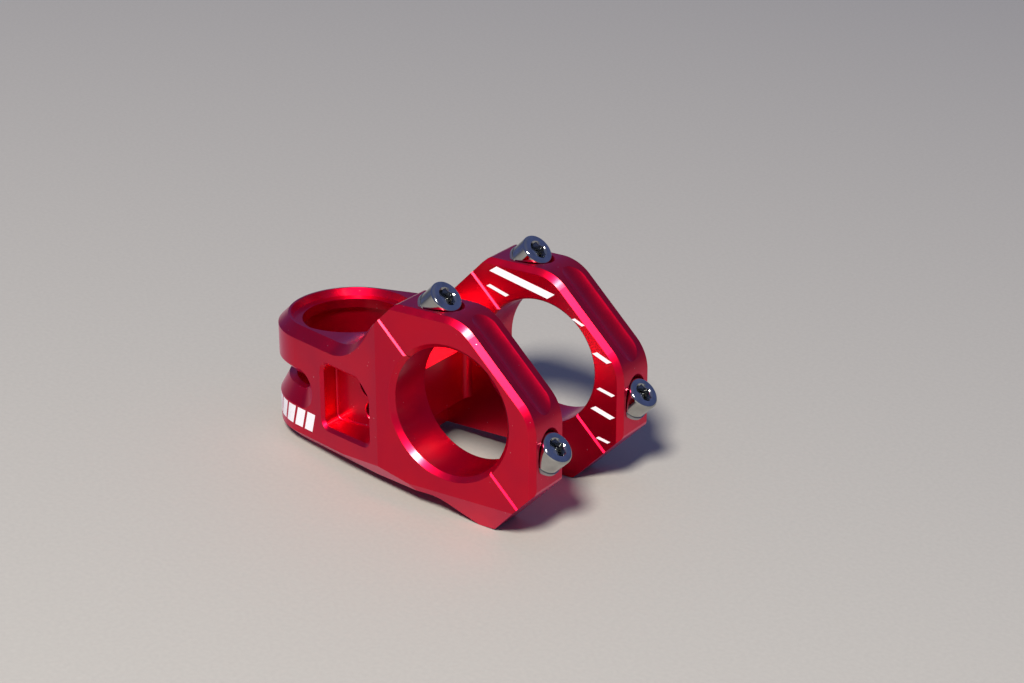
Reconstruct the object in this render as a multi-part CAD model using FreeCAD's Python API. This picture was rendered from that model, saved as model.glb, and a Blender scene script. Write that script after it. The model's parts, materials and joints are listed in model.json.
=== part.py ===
import FreeCAD, Part
import math
import os

# Handlebar stem for a threadless bicycle fork, clamping a 31.8 mm bar with two separate caps.
# Millimetres. The origin is on the steerer axis, level with the bottom face of the steerer clamp.
# +X points forward to the bar, +Y to the rider's left and +Z up along the steerer.

V = FreeCAD.Vector

# Driving dimensions
REACH = 47.0                # steerer axis to bar axis, along X
BAR_Z = 22.5                # bar axis above the clamp's bottom face
BAR_RADIUS = 15.9           # half of a 31.8 mm bar
STACK_HEIGHT = 30.0         # height of the steerer clamp
STEERER_RADIUS = 14.3       # half of a 28.6 mm steerer
STEERER_DEPTH = 25.7        # bore depth, up to the lip under the top cap's seat
LIP_RADIUS = 12.5           # hole through the lip
SEAT_Z = 28.2               # floor of the recess that the top cap sits in
SEAT_RADIUS = 14.7
RECESS_RADIUS = 15.35       # the recess widens to this at the top
RING_RADIUS = 18.45         # outside of the steerer clamp
ARM_INNER = 12.35           # |Y| of the arms' inner faces
ARM_OUTER = 25.7            # |Y| of the arms' outer faces
CREASE_X = 26.3             # where the flared sides meet the flat arm faces
RING_CHAMFER = 2.5
TOP_FILLET = 16.0           # concave blend from the clamp's top up to the arms
BLEND_TURN = 45.0           # degrees the blend turns through
# The rim's bevel narrows along the blend: place along X, depth down the side face
BLEND_BEVEL = ((12.5, 2.4), (16.0, 2.1), (19.5, 1.75), (22.5, 1.25), (26.2, 0.15))

# Split between the arms and the caps: a plane at 45 degrees through the bar axis
SPLIT_HALF_GAP = 0.1
OUTER_BEVEL = 1.2           # bore bevel at the arms' outer faces
INNER_BEVEL = 0.4           # bore bevel at the arms' inner faces
SPLIT_REACH = 27.36         # bar axis to the outer end of the split line
ARM_SPLIT_EDGE = 0.5        # bevel along the split's edges on the arms
CAP_SPLIT_EDGE = 0.15       # and on the caps
CAP_STEP = 6.2              # length of the 45 degree walls at the cap's two ends
CAP_HEIGHT = 19.4           # split plane to the cap's long slanted face
CAP_CORNER = 11.0
CAP_BEVEL = 1.3             # bevel along both sides of the cap's rim
CAP_END_EDGE = 0.18         # how far the small bevels cut the rim's two end corners
CHANNEL_RADIUS = 6.5        # cutter of the shallow channel along the cap's rim
CHANNEL_DEPTH = 0.95

# Web between the arms, in front of the steerer bore
WEB_FRONT = 25.5
WEB_TOP = 21.5
WEB_CORNER = 2.0
SLIT_WIDTH = 1.5
SLIT_FRONT = 22.0           # the slit ends inside the web, which leaves its front whole
HOLLOW_REAR = 19.5          # hollow under the web, open below and to the front
HOLLOW_LOW = 5.5            # its sloping roof, at the rear
HOLLOW_HIGH = 8.0           # and at the web's front face
HOLLOW_CORNER = 2.0

# Side pockets that reach the pinch bolts
POCKET_REAR = 6.0
POCKET_FRONT = 22.8
POCKET_LOW = 7.4
POCKET_LOW_FRONT = 7.9      # the lower edge rises a little to the front
POCKET_HIGH = 23.9
POCKET_CUT = 3.6            # 45 degree corner at the pocket's upper front
POCKET_CORNER = 2.0
POCKET_UPPER_CORNER = 2.4
POCKET_CUT_CORNER = 1.2
POCKET_FLOOR = 15.0         # |Y| of the pocket's floor
POCKET_FLOOR_CORNER = 0.5
POCKET_MOUTH = 0.85         # bevel round the pocket's mouth

# Rear notch that lets the clamp flex
NOTCH_END_X = -3.4          # centre of the notch's round ends
NOTCH_HIGH = 19.8           # upper edge on the outside of the clamp
NOTCH_LOW = 9.7             # lower edge on the outside
NOTCH_SLOT_HIGH = 17.5
NOTCH_SLOT_LOW = 13.8
NOTCH_SLOT_RADIUS = 16.2    # where the sloping walls meet the slot
NOTCH_SPREAD = 2.0          # how far the round ends' walls carry on past the clamp's outside

# Toes under the arms, which hold the lower cap bolts
TOE_X = 57.2
TOE_Z = -6.0
TOE_REAR = 43.0
TOE_FRONT_RUN = 4.5         # run of the slope down to the toes
TOE_RADII = (9.0, 2.0, 1.6)  # under the body, at the slope's foot and at the toes' front
SIDE_EDGE_Z = 1.7           # bottom edge of the flat arm faces
SIDE_EDGE_LEAN = 1.9        # lean of the bevel below that edge
FLARE_EDGE_RISE = 2.2       # the flared sides' lower bevel starts this much higher
FLARE_EDGE_LEAN = (0.25, 1.4)

# M5 bolts and washers
SHANK_RADIUS = 2.5
HOLE_RADIUS = 2.55
HEAD_RADIUS = {"cap": 4.25, "pinch": 3.85}
HEAD_HEIGHT = 5.0
HEAD_ROUND = 0.75
SOCKET_FLATS = 4.0
SOCKET_DEPTH = 2.8
SOCKET_LEAD = 0.55
SOCKET_POINT = 0.8          # depth of the drill point under the socket
SOCKET_EDGE = 0.15
BOLT_LENGTH = 20.0
TIP_BEVEL = 0.5
COUNTERBORE_RADIUS = {"cap": 4.6, "pinch": 4.25}
WASHER_RADIUS = {"cap": 4.45, "pinch": 4.1}
WASHER_BORE = 2.65
WASHER_THICKNESS = 0.8
HEAD_GAP = 0.04             # running gap between a head and its washer
CAP_BOLT_OFFSET = 21.5      # bar axis to bolt axis, along the split
CAP_SEAT = 9.65             # split plane to the washer's seat in the cap
THREAD_DEPTH = 13.0         # split plane to the end of the tapped hole
HOLE_RUN = 12.0             # the clearance hole's length in a cap, past its seat
PINCH_X = 17.5
PINCH_SEAT = 9.1            # |Y| of the pinch washer's seat
PINCH_MOUTH = 0.2           # countersink where the tapped hole opens into the other pocket
PINCH_HEIGHTS = {"upper": 19.2, "lower": 12.05}
PINCH_SIDES = {"upper": -1, "lower": 1}

ARM_MIDDLE = (ARM_INNER + ARM_OUTER) / 2.0
FAR = 90.0                  # longer than the whole part, for cutters
TINY = 0.05                 # tolerance for finding edges, and overlap of joined cutters
PAST = 1.0                  # how far cutters run past the faces they open
DIAGONAL = math.sqrt(0.5)
OUTWARD = V(DIAGONAL, 0, DIAGONAL)          # the way the caps leave the arms
ALONG_SPLIT = V(DIAGONAL, 0, -DIAGONAL)     # down and forward, in the split plane
BAR_AXIS = V(REACH, 0, BAR_Z)
SIDES = {"right": -1, "left": 1}


def at_split(along, out, y=0.0):
    """A point given by its distances from the bar axis along and out of the split plane."""
    point = BAR_AXIS + ALONG_SPLIT * along + OUTWARD * out
    return V(point.x, y, point.z)


def rounded_wire(points, radii):
    """A closed wire through the points, with a tangent arc where a corner has a radius."""
    edges = []
    ends = []
    count = len(points)
    for i in range(count):
        corner = points[i]
        if radii[i] <= 0:
            ends.append((corner, corner))
            continue
        back = (points[i - 1] - corner).normalize()
        ahead = (points[(i + 1) % count] - corner).normalize()
        half = back.getAngle(ahead) / 2.0
        start = corner + back * (radii[i] / math.tan(half))
        end = corner + ahead * (radii[i] / math.tan(half))
        middle_way = (back + ahead).normalize()
        middle = corner + middle_way * (radii[i] / math.sin(half) - radii[i])
        edges.append((i, Part.Arc(start, middle, end).toShape()))
        ends.append((start, end))
    ordered = []
    arcs = dict(edges)
    for i in range(count):
        if i in arcs:
            ordered.append(arcs[i])
        ordered.append(Part.LineSegment(ends[i][1], ends[(i + 1) % count][0]).toShape())
    return Part.Wire(ordered)


def side_prism(points, radii, y_from, y_to):
    """A side view outline, given as (x, z) pairs, extruded along Y."""
    corners = [V(x, y_from, z) for x, z in points]
    face = Part.Face(rounded_wire(corners, radii))
    return face.extrude(V(0, y_to - y_from, 0))


def half_space(point, normal):
    """A large block whose one face passes through the point, on the side the normal points to."""
    block = Part.makeBox(2 * FAR, 2 * FAR, FAR, V(-FAR, -FAR, 0))
    block.Placement = FreeCAD.Placement(point, FreeCAD.Rotation(V(0, 0, 1), normal))
    return block


def cylinder(radius, start, end):
    return Part.makeCylinder(radius, (end - start).Length, start, end - start)


def cone(radius_start, radius_end, start, end):
    return Part.makeCone(radius_start, radius_end, (end - start).Length, start, end - start)


def tangent_point(side):
    """Where a flared side face leaves the round outside of the steerer clamp."""
    reach_angle = math.atan2(ARM_OUTER, CREASE_X)
    offset = math.acos(RING_RADIUS / math.hypot(ARM_OUTER, CREASE_X))
    angle = reach_angle + offset
    return V(RING_RADIUS * math.cos(angle), side * RING_RADIUS * math.sin(angle), 0)


def flare_y(x):
    """|Y| of a flared side face at a place along X."""
    start = tangent_point(1)
    return start.y + (ARM_OUTER - start.y) * (x - start.x) / (CREASE_X - start.x)


def blend_start():
    """Where along X the concave blend leaves the clamp's top face."""
    end = at_split(-SPLIT_REACH, 0)
    bend_x = end.x - (end.z - STACK_HEIGHT)
    return bend_x - TOP_FILLET * math.tan(math.radians(BLEND_TURN / 2.0))


def blend_slope(x):
    """The slope of the concave blend, in radians."""
    turn = math.radians(BLEND_TURN)
    return math.asin(min((x - blend_start()) / TOP_FILLET, math.sin(turn)))


def blend_height(x):
    """The height of the concave blend, or of the straight slope after it."""
    slope = blend_slope(x)
    height = STACK_HEIGHT + TOP_FILLET * (1.0 - math.cos(slope))
    run = x - blend_start() - TOP_FILLET * math.sin(slope)
    return height + run * math.tan(slope)


def plan_blank(low=TOE_Z - 4.0, height=60.0):
    """The plan view outline: round clamp, flared sides and flat arm faces."""
    ring = cylinder(RING_RADIUS, V(0, 0, low), V(0, 0, low + height))
    corners = [tangent_point(1), V(CREASE_X, ARM_OUTER, 0), V(FAR, ARM_OUTER, 0)]
    corners += [V(FAR, -ARM_OUTER, 0), V(CREASE_X, -ARM_OUTER, 0), tangent_point(-1)]
    corners = [V(p.x, p.y, low) for p in corners]
    sides = Part.Face(Part.makePolygon(corners + [corners[0]])).extrude(V(0, 0, height))
    return ring.fuse(sides).removeSplitter()


def side_blank():
    """The side view outline of the body, below the split plane."""
    top_end = at_split(-SPLIT_REACH, 0)
    low_end = at_split(SPLIT_REACH, 0)
    bend_x = top_end.x - (top_end.z - STACK_HEIGHT)
    toe_front = low_end.x - (low_end.z - TOE_Z)
    points = [(-FAR, 0), (TOE_REAR, 0), (TOE_X - TOE_FRONT_RUN, TOE_Z), (toe_front, TOE_Z)]
    points += [(low_end.x, low_end.z), (top_end.x, top_end.z)]
    points += [(bend_x, STACK_HEIGHT), (-FAR, STACK_HEIGHT)]
    radii = [0] + list(TOE_RADII) + [0, 0, TOP_FILLET, 0]
    return side_prism(points, radii, -FAR / 2, FAR / 2)


def on_level(edge, z):
    """Whether an edge lies flat at a height, on the clamp or a flared side."""
    box = edge.BoundBox
    flat = abs(box.ZMin - z) < TINY and abs(box.ZMax - z) < TINY
    return flat and box.XMax < CREASE_X + TINY


def rim_bevel():
    """The cutter of the bevel round the clamp's top, back from the concave blend."""
    depth = STACK_HEIGHT - RING_CHAMFER
    slab = plan_blank(depth - PAST, RING_CHAMFER + PAST)
    top = [e for e in slab.Edges if on_level(e, STACK_HEIGHT)]
    slab = slab.makeChamfer(RING_CHAMFER, top)
    length = FAR + blend_start()
    block = Part.makeBox(length, 2 * FAR, RING_CHAMFER + PAST, V(-FAR, -FAR, depth))
    return block.cut(slab)


def blend_bevel(side):
    """The cutter of the bevel that narrows along the concave blend's outer edge."""
    sections = [(blend_start(), RING_CHAMFER)] + list(BLEND_BEVEL)
    wires = []
    for x, depth in sections:
        edge = V(x, side * flare_y(x), blend_height(x))
        inward = V(0, -side * depth * math.cos(blend_slope(x)), 0)
        low = edge + V(0, 0, -depth)
        high = edge + inward
        corners = [low * 2 - high, high * 2 - low, edge - inward * 2 + V(0, 0, 2 * depth)]
        wires.append(Part.makePolygon(corners + [corners[0]]))
    return Part.makeLoft(wires, True)


def bevelled_blank():
    """The blank with its broad bevels round the steerer clamp and along the flared sides."""
    blank = plan_blank().common(side_blank()).removeSplitter()
    blank = blank.makeChamfer(RING_CHAMFER, [e for e in blank.Edges if on_level(e, 0)])
    blank = blank.cut(rim_bevel())
    for side in SIDES.values():
        blank = blank.cut(blend_bevel(side))
    return blank


def arm_gap():
    """The open space between the arms, with the web's sloping top behind it."""
    low = TOE_Z - 5.0
    gap = Part.makeBox(FAR, 2 * ARM_INNER, FAR, V(WEB_FRONT, -ARM_INNER, low))
    corners = [e for e in gap.Edges
               if e.BoundBox.XMax < WEB_FRONT + TINY and e.BoundBox.ZLength > FAR / 2]
    gap = gap.makeFillet(WEB_CORNER, corners)
    front = RING_RADIUS - RING_CHAMFER
    profile = [(front, STACK_HEIGHT), (RING_RADIUS, STACK_HEIGHT - RING_CHAMFER)]
    profile += [(WEB_FRONT, WEB_TOP), (WEB_FRONT + WEB_CORNER, WEB_TOP)]
    profile += [(WEB_FRONT + WEB_CORNER, FAR), (0, FAR), (0, STACK_HEIGHT)]
    return gap.fuse(side_prism(profile, [0] * len(profile), -ARM_INNER, ARM_INNER))


def steerer_bore():
    """The stepped hole: steerer bore, lip, and the recess for the top cap."""
    cut = cylinder(STEERER_RADIUS, V(0, 0, -PAST), V(0, 0, STEERER_DEPTH))
    cut = cut.fuse(cylinder(LIP_RADIUS, V(0, 0, 0), V(0, 0, STACK_HEIGHT)))
    cut = cut.fuse(cone(SEAT_RADIUS, RECESS_RADIUS, V(0, 0, SEAT_Z), V(0, 0, STACK_HEIGHT)))
    cut = cut.fuse(cylinder(RECESS_RADIUS, V(0, 0, STACK_HEIGHT),
                            V(0, 0, STACK_HEIGHT + PAST)))
    return cut


def front_slit():
    """The slit in the front of the clamp, which the pinch bolts close."""
    rear = LIP_RADIUS - PAST
    corner = V(rear, -SLIT_WIDTH / 2.0, -PAST)
    return Part.makeBox(SLIT_FRONT - rear, SLIT_WIDTH, STACK_HEIGHT + 2 * PAST, corner)


def web_hollow():
    """The hollow under the web, between the arms."""
    low = TOE_Z - PAST
    front = WEB_FRONT + WEB_CORNER
    slope = (HOLLOW_HIGH - HOLLOW_LOW) / (WEB_FRONT - HOLLOW_REAR)
    high = HOLLOW_HIGH + slope * WEB_CORNER
    points = [(HOLLOW_REAR, low), (HOLLOW_REAR, HOLLOW_LOW), (front, high), (front, low)]
    return side_prism(points, [0, HOLLOW_CORNER, 0, 0], -ARM_INNER, ARM_INNER)


def side_pocket(side):
    """A pocket in a flared side, with rounded corners round its floor."""
    points = [(POCKET_REAR, POCKET_LOW), (POCKET_FRONT, POCKET_LOW_FRONT)]
    points += [(POCKET_FRONT, POCKET_HIGH - POCKET_CUT), (POCKET_FRONT - POCKET_CUT, POCKET_HIGH)]
    points += [(POCKET_REAR, POCKET_HIGH)]
    radii = [POCKET_CORNER, POCKET_CORNER, POCKET_CUT_CORNER, POCKET_CUT_CORNER,
             POCKET_UPPER_CORNER]
    pocket = side_prism(points, radii, side * POCKET_FLOOR, side * FAR / 2)
    floor_y = side * POCKET_FLOOR
    floor_edges = [e for e in pocket.Edges
                   if all(abs(v.Point.y - floor_y) < TINY for v in e.Vertexes)]
    return pocket.makeFillet(POCKET_FLOOR_CORNER, floor_edges)


def cut_pocket(body, side):
    """Cuts a side pocket and bevels its mouth."""
    body = body.cut(side_pocket(side))
    outward = tangent_point(side) / RING_RADIUS
    mouth = []
    for edge in body.Edges:
        box = edge.BoundBox
        inside = box.XMin > POCKET_REAR - TINY and box.XMax < POCKET_FRONT + TINY
        inside = inside and box.ZMin > POCKET_LOW - TINY and box.ZMax < POCKET_HIGH + TINY
        flush = all(abs(v.Point.dot(outward) - RING_RADIUS) < TINY for v in edge.Vertexes)
        if inside and flush:
            mouth.append(edge)
    return body.makeChamfer(POCKET_MOUTH, mouth)


def notch_circle(radius_out, angle):
    """A section of a notch's round end, square to the clamp's radius at an angle."""
    share = (radius_out - NOTCH_SLOT_RADIUS) / (RING_RADIUS - NOTCH_SLOT_RADIUS)
    high = NOTCH_SLOT_HIGH + (NOTCH_HIGH - NOTCH_SLOT_HIGH) * share
    low = NOTCH_SLOT_LOW + (NOTCH_LOW - NOTCH_SLOT_LOW) * share
    way = V(math.cos(angle), math.sin(angle), 0)
    centre = way * radius_out + V(0, 0, (high + low) / 2.0)
    return Part.Wire(Part.makeCircle((high - low) / 2.0, centre, way))


def rear_notch():
    """A groove round the rear of the clamp, with round ends, that opens into the bore."""
    inner = LIP_RADIUS - 0.5
    outer = RING_RADIUS + NOTCH_SPREAD
    outline = [(inner, NOTCH_SLOT_LOW), (NOTCH_SLOT_RADIUS, NOTCH_SLOT_LOW)]
    outline += [(RING_RADIUS, NOTCH_LOW), (outer, NOTCH_LOW), (outer, NOTCH_HIGH)]
    outline += [(RING_RADIUS, NOTCH_HIGH), (NOTCH_SLOT_RADIUS, NOTCH_SLOT_HIGH)]
    outline += [(inner, NOTCH_SLOT_HIGH)]
    start = math.acos(NOTCH_END_X / RING_RADIUS)
    corners = [V(r * math.cos(start), r * math.sin(start), z) for r, z in outline]
    face = Part.Face(Part.makePolygon(corners + [corners[0]]))
    groove = face.revolve(V(0, 0, 0), V(0, 0, 1), 360.0 - 2 * math.degrees(start))
    middle = (NOTCH_SLOT_HIGH + NOTCH_SLOT_LOW) / 2.0
    slot = (NOTCH_SLOT_HIGH - NOTCH_SLOT_LOW) / 2.0
    way = V(math.cos(start), -math.sin(start), 0)
    reach = way * (NOTCH_SLOT_RADIUS + TINY)
    through = cylinder(slot, way * inner + V(0, 0, middle), reach + V(0, 0, middle))
    sections = [notch_circle(NOTCH_SLOT_RADIUS, -start), notch_circle(outer, -start)]
    flared = Part.makeLoft(sections, True, True)
    cuts = [groove]
    for shape in (through, flared):
        cuts += [shape, shape.mirror(V(0, 0, 0), V(0, 1, 0))]
    return cuts


def bar_bore():
    """The bar's bore, with a bevel at each arm's faces."""
    cuts = []
    for side in (-1, 1):
        outer = side * ARM_OUTER
        inner = side * ARM_INNER
        start = V(REACH, inner - side * PAST, BAR_Z)
        cut = cylinder(BAR_RADIUS, start, V(REACH, outer + side * PAST, BAR_Z))
        mouth = V(REACH, outer - side * OUTER_BEVEL, BAR_Z)
        cut = cut.fuse(cone(BAR_RADIUS, BAR_RADIUS + 2 * OUTER_BEVEL, mouth,
                            V(REACH, outer + side * OUTER_BEVEL, BAR_Z)))
        mouth = V(REACH, inner + side * INNER_BEVEL, BAR_Z)
        cut = cut.fuse(cone(BAR_RADIUS, BAR_RADIUS + 2 * INNER_BEVEL, mouth,
                            V(REACH, inner - side * INNER_BEVEL, BAR_Z)))
        cuts.append(cut)
    return cuts


def split_edge_bevels(out, size):
    """Small bevels where the split meets the arms' side faces; out is 1 for caps, -1 for arms."""
    cuts = []
    gap = SPLIT_HALF_GAP
    for face_y, way in ((ARM_OUTER, 1), (ARM_INNER, -1)):
        for side in SIDES.values():
            y = side * face_y
            inside = y - side * way * size
            outside = y + side * way * PAST
            corners = [at_split(-FAR / 2, out * gap, inside)]
            corners.append(at_split(-FAR / 2, out * (gap + size + PAST), outside))
            corners.append(at_split(-FAR / 2, out * (gap - PAST), outside))
            face = Part.Face(Part.makePolygon(corners + [corners[0]]))
            cuts.append(face.extrude(ALONG_SPLIT * FAR))
    return cuts


def arm_underside():
    """The bevels along the bottom outer edges of the arms and toes."""
    cuts = []
    for side in (-1, 1):
        edge = V(REACH, side * ARM_OUTER, SIDE_EDGE_Z)
        cuts.append(half_space(edge, V(0, side * SIDE_EDGE_LEAN, -1)))
        corner = V(CREASE_X, side * ARM_OUTER, SIDE_EDGE_Z + FLARE_EDGE_RISE)
        rearward, outward = FLARE_EDGE_LEAN
        cuts.append(half_space(corner, V(-rearward, side * outward, -1)))
    return cuts


def pinch_hole(side, z):
    """The hole of a pinch screw: counterbore from one pocket, thread through to the other."""
    seat = V(PINCH_X, side * PINCH_SEAT, z)
    floor = V(PINCH_X, -side * POCKET_FLOOR, z)
    way = V(0, -side * PINCH_MOUTH, 0)
    mouth = V(PINCH_X, side * (POCKET_FLOOR + TINY), z)
    hole = cylinder(COUNTERBORE_RADIUS["pinch"], seat, mouth)
    hole = hole.fuse(cylinder(HOLE_RADIUS, seat, floor + way))
    return hole.fuse(cone(HOLE_RADIUS, HOLE_RADIUS + 2 * PINCH_MOUTH, floor - way, floor + way))


def stem_body():
    body = bevelled_blank()
    for side in SIDES.values():
        body = cut_pocket(body, side)
    body = body.cut(half_space(at_split(0, -SPLIT_HALF_GAP), OUTWARD))
    body = body.cut(arm_gap())
    body = body.cut(steerer_bore())
    body = body.cut(front_slit())
    body = body.cut(web_hollow())
    for cut in rear_notch() + arm_underside() + bar_bore():
        body = body.cut(cut)
    for cut in split_edge_bevels(-1, ARM_SPLIT_EDGE):
        body = body.cut(cut)
    for side in SIDES.values():
        for sign in (-1, 1):
            y = side * ARM_MIDDLE
            start = at_split(sign * CAP_BOLT_OFFSET, PAST, y)
            end = at_split(sign * CAP_BOLT_OFFSET, -THREAD_DEPTH, y)
            body = body.cut(cylinder(HOLE_RADIUS, start, end))
    for level, z in PINCH_HEIGHTS.items():
        body = body.cut(pinch_hole(PINCH_SIDES[level], z))
    return body


def cap_outline():
    """Corners of a cap in the side view, and the radius at each."""
    ends = []
    for sign in (-1, 1):
        low = at_split(sign * SPLIT_REACH, 0)
        high = at_split(sign * SPLIT_REACH, CAP_STEP)
        ends.append((low, high))
    (rear_low, rear_high), (front_low, front_high) = ends
    face = CAP_HEIGHT / DIAGONAL
    top_corner = V(BAR_AXIS.x + face - (rear_high.z - BAR_Z), 0, rear_high.z)
    front_corner = V(front_high.x, 0, BAR_Z + face - (front_high.x - REACH))
    points = [rear_low, rear_high, top_corner, front_corner, front_high, front_low]
    radii = [0, 0, CAP_CORNER, CAP_CORNER, 0, 0]
    return [(p.x, p.z) for p in points], radii


def rim_channel():
    """The cutter of the shallow channel along the cap's slanted face."""
    out = CAP_HEIGHT + CHANNEL_RADIUS - CHANNEL_DEPTH
    return cylinder(CHANNEL_RADIUS, at_split(-FAR / 2, out, 0), at_split(FAR / 2, out, 0))


def cap(side):
    """One C shaped bar cap."""
    points, radii = cap_outline()
    shape = side_prism(points, radii, side * ARM_INNER, side * ARM_OUTER)
    rim = []
    for edge in shape.Edges:
        if edge.BoundBox.YLength > TINY:
            continue
        middle = edge.valueAt((edge.FirstParameter + edge.LastParameter) / 2.0)
        if (middle - BAR_AXIS).dot(OUTWARD) > CAP_STEP - TINY:
            rim.append(edge)
    shape = shape.makeChamfer(CAP_BEVEL, rim)
    shape = shape.cut(half_space(at_split(0, SPLIT_HALF_GAP), OUTWARD * -1))
    channel = rim_channel()
    channel.translate(V(0, side * ARM_MIDDLE, 0))
    shape = shape.cut(channel)
    for cut in bar_bore() + split_edge_bevels(1, CAP_SPLIT_EDGE):
        shape = shape.cut(cut)
    for sign, face in ((-1, V(0, 0, 1)), (1, V(1, 0, 0))):
        lean = (ALONG_SPLIT * sign + face).normalize()
        corner = at_split(sign * SPLIT_REACH, CAP_STEP)
        shape = shape.cut(half_space(corner - lean * CAP_END_EDGE, lean))
        along = sign * CAP_BOLT_OFFSET
        y = side * ARM_MIDDLE
        hole_end = at_split(along, HOLE_RUN, y)
        shape = shape.cut(cylinder(HOLE_RADIUS, at_split(along, -PAST, y), hole_end))
        seat = at_split(along, CAP_SEAT, y)
        shape = shape.cut(cylinder(COUNTERBORE_RADIUS["cap"], seat, at_split(along, FAR / 2, y)))
    return shape


def washer(seat, way, use):
    """A flat washer lying on its seat; way points from the seat to the bolt's head."""
    disc = cylinder(WASHER_RADIUS[use], seat, seat + way * WASHER_THICKNESS)
    return disc.cut(cylinder(WASHER_BORE, seat - way, seat + way * (WASHER_THICKNESS + PAST)))


def bolt(seat, way, use):
    """A cap screw whose washer lies on the seat; way points out of the hole."""
    under = seat + way * (WASHER_THICKNESS + HEAD_GAP)
    top = under + way * HEAD_HEIGHT
    head = cylinder(HEAD_RADIUS[use], under, top)
    rim = [e for e in head.Edges if e.Closed and (e.CenterOfMass - top).Length < TINY]
    head = head.makeFillet(HEAD_ROUND, rim)
    tip = under - way * BOLT_LENGTH
    shank = cylinder(SHANK_RADIUS, tip + way * TIP_BEVEL, under + way * TIP_BEVEL)
    shank = shank.fuse(cone(SHANK_RADIUS - TIP_BEVEL, SHANK_RADIUS, tip, tip + way * TIP_BEVEL))
    shape = head.fuse(shank)
    sideways = V(0, 1, 0) if abs(way.y) < 0.5 else V(1, 0, 0)
    corner_reach = SOCKET_FLATS / math.sqrt(3.0)
    corners = []
    for i in range(7):
        turn = FreeCAD.Rotation(way, 60.0 * i)
        corners.append(top - way * SOCKET_DEPTH + turn.multVec(sideways) * corner_reach)
    socket = Part.Face(Part.makePolygon(corners)).extrude(way * (SOCKET_DEPTH + PAST))
    lead = corner_reach + SOCKET_EDGE
    bottom = cone(TINY, SOCKET_FLATS / 2.0 - SOCKET_EDGE, top - way * (SOCKET_DEPTH + SOCKET_POINT),
                  top - way * SOCKET_DEPTH)
    mouth = cone(lead - SOCKET_LEAD, lead, top - way * SOCKET_LEAD, top)
    return shape.cut(socket.fuse(bottom)).cut(mouth)


def pieces():
    """Every node of the stem, by name."""
    nodes = {"stem_body": stem_body()}
    for name, side in SIDES.items():
        nodes[name + "_cap"] = cap(side)
        for level, sign in (("upper", -1), ("lower", 1)):
            seat = at_split(sign * CAP_BOLT_OFFSET, CAP_SEAT, side * ARM_MIDDLE)
            label = name + "_" + level
            nodes[label + "_washer"] = washer(seat, OUTWARD, "cap")
            nodes[label + "_bolt"] = bolt(seat, OUTWARD, "cap")
    for level, z in PINCH_HEIGHTS.items():
        way = V(0, PINCH_SIDES[level], 0)
        seat = V(PINCH_X, PINCH_SIDES[level] * PINCH_SEAT, z)
        nodes[level + "_pinch_washer"] = washer(seat, way, "pinch")
        nodes[level + "_pinch_bolt"] = bolt(seat, way, "pinch")
    return nodes


os.makedirs("parts", exist_ok=True)
for name, shape in pieces().items():
    box = shape.BoundBox
    print(name, shape.isValid(), len(shape.Solids), round(shape.Volume, 1),
          [round(v, 2) for v in (box.XMin, box.YMin, box.ZMin, box.XMax, box.YMax, box.ZMax)])
    shape.exportStep("parts/" + name + ".step")
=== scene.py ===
import json
import math

import bmesh
import bpy
from mathutils import Matrix, Vector


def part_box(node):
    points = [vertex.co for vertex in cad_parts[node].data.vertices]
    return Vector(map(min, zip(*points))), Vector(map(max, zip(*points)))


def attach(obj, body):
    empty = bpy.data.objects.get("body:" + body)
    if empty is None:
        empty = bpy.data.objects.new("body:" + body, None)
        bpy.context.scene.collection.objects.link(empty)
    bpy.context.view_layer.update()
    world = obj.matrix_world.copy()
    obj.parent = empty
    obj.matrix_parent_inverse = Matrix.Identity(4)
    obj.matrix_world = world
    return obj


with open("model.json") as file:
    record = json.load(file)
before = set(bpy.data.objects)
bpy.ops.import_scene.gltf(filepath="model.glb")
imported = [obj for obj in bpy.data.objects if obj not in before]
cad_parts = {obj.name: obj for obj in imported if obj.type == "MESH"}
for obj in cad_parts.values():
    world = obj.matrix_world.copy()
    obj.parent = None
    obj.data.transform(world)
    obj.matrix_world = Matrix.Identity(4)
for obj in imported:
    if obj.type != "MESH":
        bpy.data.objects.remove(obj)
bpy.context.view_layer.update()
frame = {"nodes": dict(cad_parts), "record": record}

MM = 0.001

# Places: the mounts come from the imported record, and the faces from the CAD boxes
MOUNTS = {m["name"]: m for m in frame["record"]["mounts"]}
BAR = Vector(MOUNTS["handlebar_clamp"]["pos_m"])
ARM_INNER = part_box("left_cap")[0].y
ARM_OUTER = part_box("left_cap")[1].y
RING_RADIUS = -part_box("stem_body")[0].x
TOE_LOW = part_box("stem_body")[0].z
CREASE_X = 26.3 * MM        # where the flared sides meet the flat arm faces, as in the CAD model
SIDES = {"right": -1, "left": 1}

# Colours, as linear red, green, blue and alpha
RED = (0.70, 0.0002, 0.024, 1)
DEEP_RED = (0.56, 0.0002, 0.030, 1)
EDGE_TINT = (1.0, 0.35, 0.9, 1)     # what the dye reflects at a glancing angle
DUST = (0.80, 0.62, 0.68, 1)
ETCH_WHITE = (0.80, 0.79, 0.81, 1)
ETCH_SHADE = (0.66, 0.62, 0.66, 1)
STEEL = (0.56, 0.56, 0.53, 1)
STEEL_SHADE = (0.26, 0.265, 0.26, 1)
WASHER_STEEL = (0.42, 0.42, 0.43, 1)
WASHER_SHADE = (0.30, 0.30, 0.31, 1)
FLOOR_GREY = (0.375, 0.362, 0.325, 1)
FLOOR_SHADE = (0.325, 0.315, 0.285, 1)

# Roughness, from the smoothest spot to the roughest
DYE_ROUGHNESS = (0.36, 0.44)
DYE_SMEAR_ROUGHNESS = (0.0, 0.06)   # what smears add to it
POLISHED_ROUGHNESS = (0.05, 0.13)
DULL_ROUGHNESS = (0.32, 0.45)
ETCH_ROUGHNESS = (0.5, 0.7)
FLOOR_ROUGHNESS = 0.75

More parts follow.
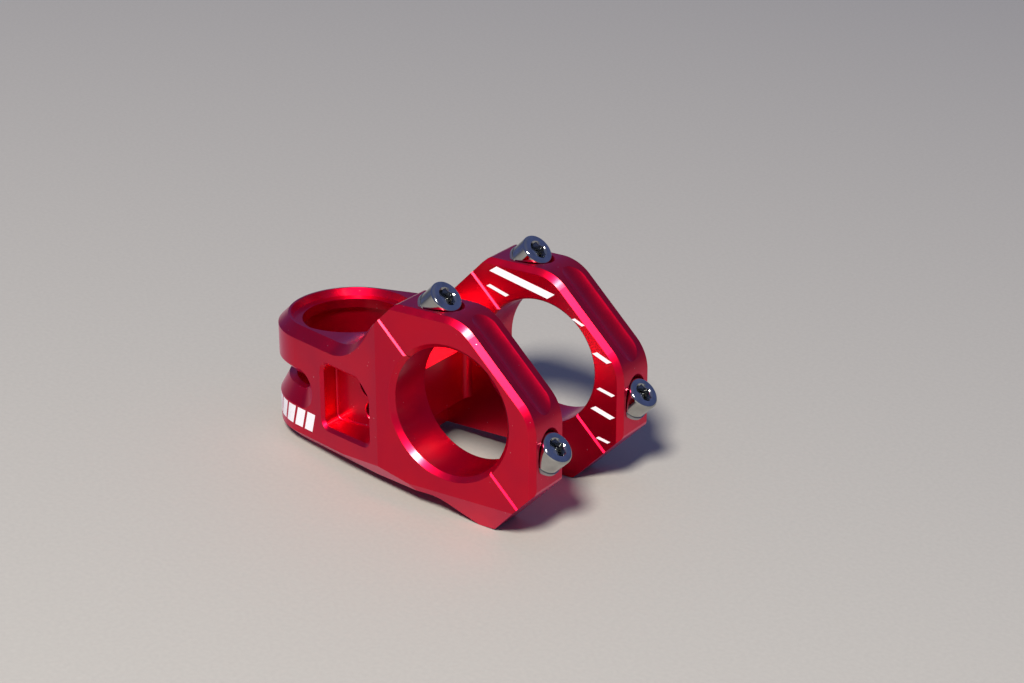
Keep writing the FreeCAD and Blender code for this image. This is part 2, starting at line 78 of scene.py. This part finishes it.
# Fineness of each pattern: what a place in metres is multiplied by, along X, Y and Z
PATCHES = (60, 60, 60)
DYE_SMEARS = (260, 260, 260)
DYE_GRAIN = (5200, 5200, 5200)
DUST_SPECKS = (1900, 1900, 1900)
TURNING_MARKS = (30, 4200, 30)      # close lines, square to Y
HATCHING = (520, 520, 520)
STEEL_SMEARS = (420, 420, 420)
STEEL_LINES = (2600, 900, 2600)
DULL_GRAIN = (3000, 3000, 3000)
ETCH_GRAIN = (6000, 6000, 6000)
FLOOR_SPECKS = (900, 900, 900)


# ---- Material helpers ----

EDGE_SAMPLES = 6            # rays that the shading of a sharp edge takes


class Shader:
    """A node material that is built up call by call."""

    def __init__(self, name):
        self.material = bpy.data.materials.new(name)
        self.material.use_nodes = True
        self.tree = self.material.node_tree
        self.surface = self.tree.nodes["Principled BSDF"]
        self.place = self.node("ShaderNodeTexCoord").outputs["Object"]

    def node(self, kind, **settings):
        made = self.tree.nodes.new(kind)
        for key, value in settings.items():
            setattr(made, key, value)
        return made

    def feed(self, socket, value):
        """Links an output to a socket, or sets the socket's own value."""
        if isinstance(value, bpy.types.NodeSocket):
            self.tree.links.new(value, socket)
        else:
            socket.default_value = value

    def set(self, **values):
        """Feeds the surface's own sockets, named with _ for a space."""
        for key, value in values.items():
            self.feed(self.surface.inputs[key.replace("_", " ")], value)

    def scaled(self, scale):
        """The place in the object's frame, times a scale for each axis."""
        made = self.node("ShaderNodeMapping")
        self.feed(made.inputs["Vector"], self.place)
        made.inputs["Scale"].default_value = scale
        return made.outputs["Vector"]

    def noise(self, fineness, detail):
        """Soft random patches; more detail adds finer ones."""
        made = self.node("ShaderNodeTexNoise")
        self.feed(made.inputs["Vector"], self.scaled(fineness))
        made.inputs["Scale"].default_value = 1.0
        made.inputs["Detail"].default_value = detail
        return made.outputs["Fac"]

    def diagonal_waves(self, fineness, distortion):
        """Slightly uneven slanted lines."""
        made = self.node("ShaderNodeTexWave", wave_type="BANDS", bands_direction="DIAGONAL")
        self.feed(made.inputs["Vector"], self.scaled(fineness))
        made.inputs["Scale"].default_value = 1.0
        made.inputs["Distortion"].default_value = distortion
        return made.outputs["Fac"]

    def ramp(self, value, low, high, out_low=0.0, out_high=1.0):
        """Stretches the range from low to high over the one from out_low to out_high."""
        made = self.node("ShaderNodeMapRange")
        made.clamp = True
        for key, number in (("From Min", low), ("From Max", high),
                            ("To Min", out_low), ("To Max", out_high)):
            made.inputs[key].default_value = number
        self.feed(made.inputs["Value"], value)
        return made.outputs["Result"]

    def combine(self, operation, a, b):
        """A sum, a product or another operation on two values."""
        made = self.node("ShaderNodeMath", operation=operation)
        self.feed(made.inputs[0], a)
        self.feed(made.inputs[1], b)
        return made.outputs["Value"]

    def mix(self, share, a, b):
        """A colour that goes from a to b as the share goes from 0 to 1."""
        made = self.node("ShaderNodeMix", data_type="RGBA")
        self.feed(made.inputs["Factor"], share)
        self.feed(made.inputs["A"], a)
        self.feed(made.inputs["B"], b)
        return made.outputs["Result"]

    def normal_part(self, axis):
        """How far the surface faces along one axis, either way, from 0 to 1."""
        split = self.node("ShaderNodeSeparateXYZ")
        self.feed(split.inputs["Vector"], self.node("ShaderNodeNewGeometry").outputs["Normal"])
        return self.combine("ABSOLUTE", split.outputs[axis], 0.0)

    def bump(self, height, distance, strength, edge=0.0):
        """A bump from a height; edge is the radius that sharp edges are shaded with."""
        made = self.node("ShaderNodeBump")
        made.inputs["Strength"].default_value = strength
        made.inputs["Distance"].default_value = distance
        self.feed(made.inputs["Height"], height)
        if edge:
            rounded = self.node("ShaderNodeBevel", samples=EDGE_SAMPLES)
            rounded.inputs["Radius"].default_value = edge
            self.feed(made.inputs["Normal"], rounded.outputs["Normal"])
        self.set(Normal=made.outputs["Normal"])


# ---- Materials ----

def anodised(name, base, deep):
    """Machined aluminium under a dyed anodic layer: cutter marks, a fine matt grain and some dust."""
    s = Shader(name)
    patches = s.ramp(s.noise(PATCHES, detail=2.0), 0.35, 0.7)
    dust = s.ramp(s.noise(DUST_SPECKS, detail=0.0), 0.875, 0.885)
    colour = s.mix(patches, base, deep)
    s.set(Base_Color=s.mix(s.combine("MULTIPLY", dust, 0.4), colour, DUST))
    s.set(Metallic=1.0, Specular_Tint=EDGE_TINT)
    s.set(Coat_Weight=1.0, Coat_Roughness=0.2, Coat_IOR=1.26)
    grain = s.noise(DYE_GRAIN, detail=2.0)
    smears = s.noise(DYE_SMEARS, detail=3.0)
    s.set(Roughness=s.combine("ADD", s.ramp(grain, 0.3, 0.7, *DYE_ROUGHNESS),
                              s.ramp(smears, 0.4, 0.8, *DYE_SMEAR_ROUGHNESS)))
    s.bump(cutter_marks(s, grain), distance=0.012 * MM, strength=0.5, edge=0.2 * MM)
    return s.material


def cutter_marks(s, grain):
    """The height of the tool's marks: lines on faces that run along Y, a hatch on bevels, and grain."""
    sideways = s.normal_part("Y")
    lines = s.combine("MULTIPLY", s.ramp(sideways, 0.25, 0.05), s.noise(TURNING_MARKS, detail=2.0))
    bevels = s.combine("MULTIPLY", s.ramp(sideways, 0.85, 0.65), s.ramp(sideways, 0.3, 0.5))
    waves = s.combine("MULTIPLY", s.diagonal_waves(HATCHING, distortion=0.6), 0.8)
    hatch = s.combine("MULTIPLY", bevels, waves)
    rough_lines = s.combine("ADD", lines, s.combine("MULTIPLY", grain, 0.35))
    return s.combine("ADD", rough_lines, hatch)


def polished_steel(name):
    """Bright plated steel with faint turning marks and fingerprints."""
    s = Shader(name)
    smears = s.noise(STEEL_SMEARS, detail=3.0)
    s.set(Base_Color=s.mix(smears, STEEL, STEEL_SHADE))
    s.set(Metallic=1.0, Roughness=s.ramp(smears, 0.35, 0.75, *POLISHED_ROUGHNESS))
    s.bump(s.noise(STEEL_LINES, detail=2.0), distance=0.004 * MM, strength=0.4, edge=0.12 * MM)
    return s.material


def dull_steel(name):
    """Plain steel with a fine even grain."""
    s = Shader(name)
    grain = s.noise(DULL_GRAIN, detail=3.0)
    s.set(Base_Color=s.mix(grain, WASHER_STEEL, WASHER_SHADE))
    s.set(Metallic=1.0, Roughness=s.ramp(grain, 0.3, 0.7, *DULL_ROUGHNESS))
    s.bump(grain, distance=0.006 * MM, strength=0.5)
    return s.material


def etched(name):
    """The frosted white of a laser mark in the anodising."""
    s = Shader(name)
    grain = s.noise(ETCH_GRAIN, detail=2.0)
    s.set(Base_Color=s.mix(s.ramp(grain, 0.35, 0.75), ETCH_WHITE, ETCH_SHADE))
    s.set(Roughness=s.ramp(grain, 0.3, 0.7, *ETCH_ROUGHNESS))
    s.bump(grain, distance=0.01 * MM, strength=0.4)
    return s.material


# ---- Pieces that stay as the CAD has them ----

def dress(node, material):
    """Gives a CAD node its material."""
    slots = frame["nodes"][node].data.materials
    slots.clear()
    slots.append(material)


BODY_RED = anodised("anodised_body", RED, DEEP_RED)
CAP_RED = anodised("anodised_caps", RED, DEEP_RED)
CHROME = polished_steel("bolts")
WASHER_METAL = dull_steel("washers")
WHITE = etched("etched_white")
FINISH = {"anodised_body": BODY_RED, "anodised_caps": CAP_RED, "bolts": CHROME,
          "washers": WASHER_METAL}
for part in frame["record"]["subparts"]:
    dress(part["node"], FINISH[part["material_slot"]])


# ---- White marks ----

MARK_DEPTH = 0.03 * MM      # how far a mark stands proud of its face, and reaches into it
MARK_STEPS = 8              # lengths that a mark is made of, so that it can follow a curved wall

# Dashes on the caps' inner faces: each one's two ends, forward and up from the bar axis, and
# its width, in millimetres
DASHES = (((-13.2, 21.4), (3.6, 17.6), 1.9), ((-14.6, 16.9), (-9.0, 15.2), 0.9),
          ((10.0, 13.3), (12.8, 12.1), 0.7), ((16.1, 5.9), (20.2, 4.2), 1.1),
          ((17.2, -3.0), (21.5, -4.1), 0.8), ((15.8, -8.3), (21.3, -10.0), 1.2),
          ((17.1, -15.9), (20.4, -16.6), 0.7))
DASH_LEAN = 0.9             # slant of a dash's ends, in widths

# Slanted bars round the rear of the clamp, in millimetres
BAR_RUNS = (-11.6, -7.7, -3.8, 0.1, 4.0)    # where the bars start, as runs along the wall
BAR_WIDTH = 3.0
BAR_LEAN = 1.4              # how much further forward a bar's top is than its foot
BAR_LOW, BAR_HIGH = 4.4, 9.3


def strip(shape, low, high, normals):
    """A closed thin mark between two rows of points, half above their surface and half below."""
    rows = []
    for way in (-1, 1):
        for points in (low, high):
            shift = [p + n * way * MARK_DEPTH for p, n in zip(points, normals)]
            rows.append([shape.verts.new(p) for p in shift])
    under_low, under_high, over_low, over_high = rows
    for i in range(len(low) - 1):
        for a, b in ((over_low, over_high), (under_high, under_low),
                     (under_low, over_low), (over_high, under_high)):
            shape.faces.new((a[i], a[i + 1], b[i + 1], b[i]))
    for i in (0, -1):       # the two ends
        shape.faces.new((under_low[i], under_high[i], over_high[i], over_low[i]))


def add_object(name, data):
    """Puts a new object into the scene."""
    made = bpy.data.objects.new(name, data)
    bpy.context.scene.collection.objects.link(made)
    return made


def marks(name, strips, body):
    """A piece made of several raised marks."""
    mesh = bpy.data.meshes.new(name)
    piece = add_object(name, mesh)
    shape = bmesh.new()
    for low, high, normals in strips:
        strip(shape, low, high, normals)
    bmesh.ops.recalc_face_normals(shape, faces=shape.faces)
    shape.to_mesh(mesh)
    shape.free()
    mesh.materials.append(WHITE)
    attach(piece, body)


def dash(start, end, width, side):
    """A dash with slanted ends on the inner face of an arm."""
    a = BAR + Vector((start[0], 0, start[1])) * MM
    b = BAR + Vector((end[0], 0, end[1])) * MM
    along = (b - a).normalized()
    across = Vector((-along.z, 0, along.x)) * (width * MM / 2)
    lean = along * (width * DASH_LEAN * MM / 2)
    face = Vector((0, side * ARM_INNER, 0))
    low, high = [], []
    for i in range(MARK_STEPS + 1):
        middle = a.lerp(b, i / MARK_STEPS) + face
        low.append(middle - across - lean)
        high.append(middle + across + lean)
    return low, high, [Vector((0, -side, 0))] * (MARK_STEPS + 1)


def wall(run, side):
    """A point on the clamp's side wall and its normal.

    The run is a distance along the wall: forward along the straight flare from where it leaves
    the round clamp, or, below zero, back round the clamp.
    """
    crease = math.atan2(ARM_OUTER, CREASE_X)
    tangent = crease + math.acos(RING_RADIUS / math.hypot(ARM_OUTER, CREASE_X))
    angle = tangent - min(run, 0.0) / RING_RADIUS
    normal = Vector((math.cos(angle), math.sin(angle), 0))
    ahead = Vector((math.sin(tangent), -math.cos(tangent), 0))
    point = normal * RING_RADIUS + ahead * max(run, 0.0)
    return Vector((point.x, side * point.y, 0)), Vector((normal.x, side * normal.y, 0))


def wall_bar(start, side):
    """An upright slanted bar on the clamp's side wall."""
    low, high, normals = [], [], []
    for i in range(MARK_STEPS + 1):
        run = start + BAR_WIDTH * i / MARK_STEPS
        for points, z, lean in ((low, BAR_LOW, -BAR_LEAN / 2), (high, BAR_HIGH, BAR_LEAN / 2)):
            point, normal = wall((run + lean) * MM, side)
            points.append(point + Vector((0, 0, z * MM)))
        normals.append(wall(run * MM, side)[1])
    return low, high, normals


for name, side in SIDES.items():
    marks(name + "_cap_dashes", [dash(*ends, side) for ends in DASHES],
          name + "_cap")
    marks(name + "_rear_bars", [wall_bar(run, side) for run in BAR_RUNS], "stem")


# ---- Floor, lights and camera ----

FLOOR_SIZE = 6              # metres
FLOOR_GAP = 0.05 * MM
TOE_REST = 53.2 * MM        # where the toes touch the floor, along X
CLAMP_REST = -15.95 * MM    # where the clamp's rear edge touches it

# The dome's colours, from the horizon at 0 to straight up at 1
SKY = ((0.0, (0.50, 0.54, 0.66, 1)), (0.14, (0.24, 0.31, 0.80, 1)),
       (0.55, (0.26, 0.34, 0.80, 1)), (1.0, (0.40, 0.46, 0.80, 1)))
SKY_STRENGTH = 0.42

# The main light: its way and distance in metres from the bar axis, its width, and its power in watts
KEY_WAY = (0.27, -0.65, 0.71)
KEY_DISTANCE = 1.6
KEY_WIDTH = 0.32
KEY_POWER = 48.0
KEY_COLOUR = (1.0, 0.95, 0.88)

# The camera: angles in degrees, and the lens and the sensor's width in millimetres
VIEW_AZIMUTH = 34.0
VIEW_ELEVATION = 22.0
VIEW_ROLL = -0.19
VIEW_LENS = 85.0
VIEW_SENSOR = 36.0
VIEW_DISTANCE = 588.5 * MM
VIEW_TARGET = Vector((40.19, 11.07, 26.67)) * MM


def floor():
    """A pale floor under the toes and the rear edge of the clamp, as the stem rests."""
    bpy.ops.mesh.primitive_plane_add(size=FLOOR_SIZE)
    plane = bpy.context.object
    plane.name = "floor"
    tilt = math.atan2(-TOE_LOW, TOE_REST - CLAMP_REST)
    plane.rotation_euler = (0, tilt, 0)
    plane.location = Vector((TOE_REST, 0, TOE_LOW - FLOOR_GAP))
    s = Shader("floor")
    specks = s.noise(FLOOR_SPECKS, detail=4.0)
    s.set(Base_Color=s.mix(specks, FLOOR_GREY, FLOOR_SHADE), Roughness=FLOOR_ROUGHNESS)
    plane.data.materials.append(s.material)


def sky():
    """A soft dome, pale at the horizon and blue above it."""
    world = bpy.data.worlds.new("studio")
    bpy.context.scene.world = world
    world.use_nodes = True
    tree = world.node_tree
    shade = tree.nodes["Background"]
    place = tree.nodes.new("ShaderNodeTexCoord")
    split = tree.nodes.new("ShaderNodeSeparateXYZ")
    ramp = tree.nodes.new("ShaderNodeValToRGB")
    tree.links.new(place.outputs["Generated"], split.inputs["Vector"])
    tree.links.new(split.outputs["Z"], ramp.inputs["Fac"])
    tree.links.new(ramp.outputs["Color"], shade.inputs["Color"])
    stops = ramp.color_ramp.elements
    stops.remove(stops[1])
    stops[0].position, stops[0].color = SKY[0]
    for position, colour in SKY[1:]:
        stops.new(position).color = colour
    shade.inputs["Strength"].default_value = SKY_STRENGTH


def aim(thing, target, way, distance, roll=0.0):
    """Puts a light or camera a distance from its target and turns it to look back at it."""
    thing.location = target + way * distance
    thing.rotation_mode = "QUATERNION"
    turn = Matrix.Rotation(math.radians(roll), 3, "Z").to_quaternion()
    thing.rotation_quaternion = (-way).to_track_quat("-Z", "Y") @ turn


def key_light():
    """A wide round light above the object's near side."""
    data = bpy.data.lights.new("key", "AREA")
    data.shape = "DISK"
    data.size = KEY_WIDTH
    data.energy = KEY_POWER
    data.color = KEY_COLOUR
    aim(add_object("key", data), BAR, Vector(KEY_WAY).normalized(), KEY_DISTANCE)


def camera():
    """The camera, to the right of the object, ahead of it and above it."""
    a = math.radians(VIEW_AZIMUTH)
    e = math.radians(VIEW_ELEVATION)
    way = Vector((math.sin(a) * math.cos(e), -math.cos(a) * math.cos(e), math.sin(e)))
    data = bpy.data.cameras.new("camera")
    data.lens = VIEW_LENS
    data.sensor_width = VIEW_SENSOR
    eye = add_object("camera", data)
    aim(eye, VIEW_TARGET, way, VIEW_DISTANCE, VIEW_ROLL)
    bpy.context.scene.camera = eye


floor()
sky()
key_light()
camera()
bpy.context.scene.view_settings.view_transform = "Standard"
